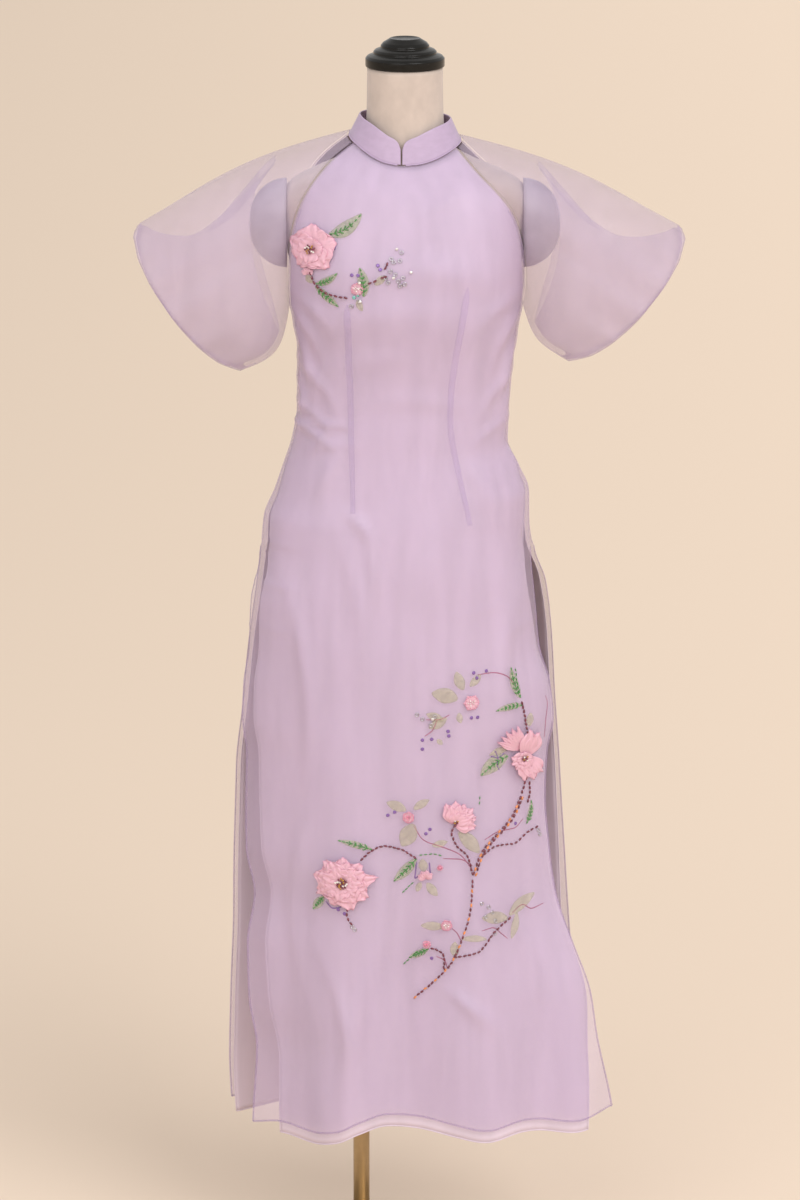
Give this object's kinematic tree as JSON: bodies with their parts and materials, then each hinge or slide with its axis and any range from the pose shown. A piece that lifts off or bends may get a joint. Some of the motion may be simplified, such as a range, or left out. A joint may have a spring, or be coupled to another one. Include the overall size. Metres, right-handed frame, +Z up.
{
  "type": "ao dai tunic on a limbless dress form with a pole stand",
  "caption": "Long lavender organza tunic with stand collar, puff raglan sleeves, side slits and flower applique, worn by a limbless dress form on a pole stand.",
  "frame": {"origin": "middle of the object's box at floor level, under the dress form", "axes": "+Z up along the pole; -Y towards the front of the tunic; +X towards the wearer's left, which is the right of a front view"},
  "size_m": [0.7034, 0.3, 1.636],
  "materials": {
    "organza": "sheer lavender organza, soft sheen",
    "lining": "opaque lavender taffeta lining, satin",
    "collar_cloth": "interfaced lavender organza over lining",
    "petals": "pink organza petals, pleated",
    "form_cover": "beige stretch jersey",
    "cap_lacquer": "gloss black lacquer",
    "arm_plate": "blue-grey, satin",
    "stand_metal": "brass-coloured, satin"
  },
  "bodies": {
    "root": {"front_panel": "organza", "back_panel": "organza", "front_lining": "lining", "back_lining": "lining", "sleeve_left": "organza", "sleeve_right": "organza", "sleeve_inner_left": "organza", "sleeve_inner_right": "organza", "collar": "collar_cloth", "chest_flower": "petals", "skirt_flower_large": "petals", "skirt_flower_side": "petals", "skirt_flower_half_open": "petals", "form_torso": "form_cover", "form_cap": "cap_lacquer", "form_arm_plate_left": "arm_plate", "form_arm_plate_right": "arm_plate", "stand_base": "stand_metal", "stand_boss": "stand_metal", "stand_pole": "stand_metal"}
  },
  "joints": []
}
